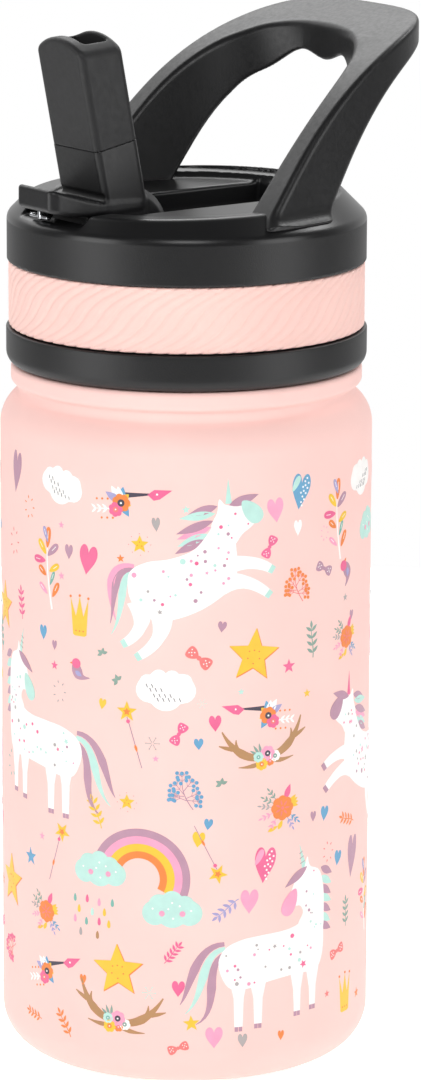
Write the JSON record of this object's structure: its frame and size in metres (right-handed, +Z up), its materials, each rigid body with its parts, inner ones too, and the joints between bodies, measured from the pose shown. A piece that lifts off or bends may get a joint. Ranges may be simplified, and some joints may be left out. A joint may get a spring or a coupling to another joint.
{
  "type": "water bottle",
  "caption": "Insulated kids' water bottle with a screw lid, flip-up drinking spout, straw, silicone grip band and fixed carry handle.",
  "frame": {"origin": "centre of the foot ring, in the plane the bottle stands on", "axes": "+Z up along the bottle's axis, -Y towards the spout (front), +Y towards the carry handle (back)"},
  "size_m": [0.073, 0.0827, 0.2054],
  "materials": {
    "powder_coat": "fine matte powder coat with a printed pattern",
    "bare_steel": "bare spun stainless steel",
    "getter_metal": "dull sintered metal",
    "pin_steel": "ground stainless pin",
    "black_plastic": "satin moulded plastic with a fine spark texture",
    "black_silicone": "soft satin silicone",
    "pink_silicone": "matte silicone with slanting moulded ribs",
    "clear_silicone": "translucent food silicone",
    "straw_plastic": "translucent polypropylene"
  },
  "bodies": {
    "bottle": {"outer_shell": "powder_coat", "inner_vessel": "bare_steel", "base_cup": "bare_steel", "vacuum_seal": "bare_steel", "getter": "getter_metal"},
    "gasket": {"lid_gasket": "clear_silicone"},
    "lid": {"lid_shell": "black_plastic", "lid_collar": "black_plastic", "lid_liner": "black_plastic", "grip_band": "pink_silicone", "carry_handle": "black_plastic", "tab_catch": "clear_silicone", "spout_seal": "clear_silicone", "hinge_pin_left": "pin_steel", "hinge_pin_right": "pin_steel", "straw_adapter": "clear_silicone", "straw": "straw_plastic", "vent_valve": "clear_silicone"},
    "spout": {"spout_base": "black_plastic", "mouthpiece": "black_silicone"}
  },
  "joints": [
    {"name": "lid_rise", "type": "slide", "parent": "bottle", "child": "gasket", "axis": [0, 0, 1], "range_m": [0, 0.0051]},
    {"name": "lid_turn", "type": "hinge", "parent": "gasket", "child": "lid", "pos_m": [0, 0, 0.145], "axis": [0, 0, 1], "range_deg": [0, 450]},
    {"name": "spout_flip", "type": "hinge", "parent": "lid", "child": "spout", "pos_m": [0, -0.0185, 0.1647], "axis": [-1, 0, 0], "range_deg": [0, 101.3]}
  ],
  "couplings": [
    {"joint": "lid_rise", "follows": "lid_turn", "m_per_rad": 0.00063662}
  ]
}
